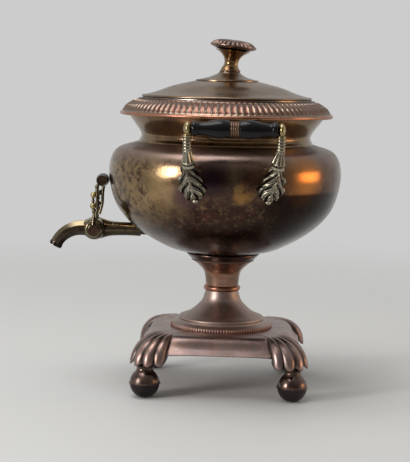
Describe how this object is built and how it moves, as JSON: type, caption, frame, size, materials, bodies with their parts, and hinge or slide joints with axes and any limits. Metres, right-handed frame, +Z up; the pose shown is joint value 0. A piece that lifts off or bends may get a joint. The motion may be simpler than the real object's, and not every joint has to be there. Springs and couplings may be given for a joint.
{
  "type": "tea urn",
  "caption": "Footed metal tea urn with a lift-off domed lid, two bar handles, a heater tube inside and a plug tap with a bent spout.",
  "frame": {"origin": "on the urn's vertical axis, at the level that its four ball feet stand on", "axes": "+Z up, -X along the tap and its spout, the two handles on -Y and +Y"},
  "size_m": [0.3203, 0.3014, 0.3822],
  "materials": {
    "worn_plate": "worn silver plate with copper showing",
    "bare_copper": "rubbed copper",
    "aged_brass": "aged, dark in the hollows",
    "ebony": "polished black",
    "brown_horn": "polished dark brown",
    "black_iron": "scaled",
    "dull_tin": "dull tinned copper",
    "dark_patina": "blackened copper"
  },
  "bodies": {
    "root": {"base_plate": "worn_plate", "border_filling": "dull_tin", "bowl": "worn_plate", "clasp_screws": "aged_brass", "clasp_washers": "aged_brass", "corner_shell_back_left": "worn_plate", "corner_shell_back_right": "worn_plate", "corner_shell_front_left": "worn_plate", "corner_shell_front_right": "worn_plate", "foot_lower_back_left": "dark_patina", "foot_lower_back_right": "dark_patina", "foot_lower_front_left": "dark_patina", "foot_lower_front_right": "dark_patina", "foot_upper_back_left": "worn_plate", "foot_upper_back_right": "worn_plate", "foot_upper_front_left": "worn_plate", "foot_upper_front_right": "worn_plate", "handle_back_clasp_left": "aged_brass", "handle_back_clasp_right": "aged_brass", "handle_back_grip_left": "ebony", "handle_back_grip_right": "ebony", "handle_back_ring": "aged_brass", "handle_back_rod": "aged_brass", "handle_front_clasp_left": "aged_brass", "handle_front_clasp_right": "aged_brass", "handle_front_grip_left": "ebony", "handle_front_grip_right": "ebony", "handle_front_ring": "aged_brass", "handle_front_rod": "aged_brass", "heater_eye": "black_iron", "heater_iron": "black_iron", "heater_tube": "dull_tin", "knop_ring": "bare_copper", "mouth_collar": "dull_tin", "neck": "worn_plate", "pedestal_cup": "worn_plate", "pedestal_skirt": "worn_plate", "reeded_band": "bare_copper", "rim_border": "worn_plate", "rim_wire": "bare_copper", "tap_body": "aged_brass", "tap_spout": "aged_brass", "tap_strainer": "aged_brass"},
    "lid": {"lid_dome": "worn_plate", "lid_bezel": "dull_tin", "knob_base": "worn_plate", "knob_stem": "worn_plate", "knob_cap": "worn_plate", "knob_nut": "aged_brass"},
    "tap_key": {"tap_plug": "aged_brass", "key_arm_near": "aged_brass", "key_arm_far": "aged_brass", "key_grip": "brown_horn", "key_screws": "aged_brass"},
    "heater_cover_body": {"heater_cover": "dull_tin"}
  },
  "joints": [
    {"name": "lid_lift", "type": "slide", "parent": "root", "child": "lid", "axis": [0, 0, 1], "range_m": [0, 0.09]},
    {"name": "tap_turn", "type": "hinge", "parent": "root", "child": "tap_key", "pos_m": [-0.1425, 0, 0.171], "axis": [0, -1, 0], "range_deg": [0, 90]},
    {"name": "heater_cover_lift", "type": "slide", "parent": "root", "child": "heater_cover_body", "axis": [0, 0, 1], "range_m": [0, 0.02]}
  ]
}
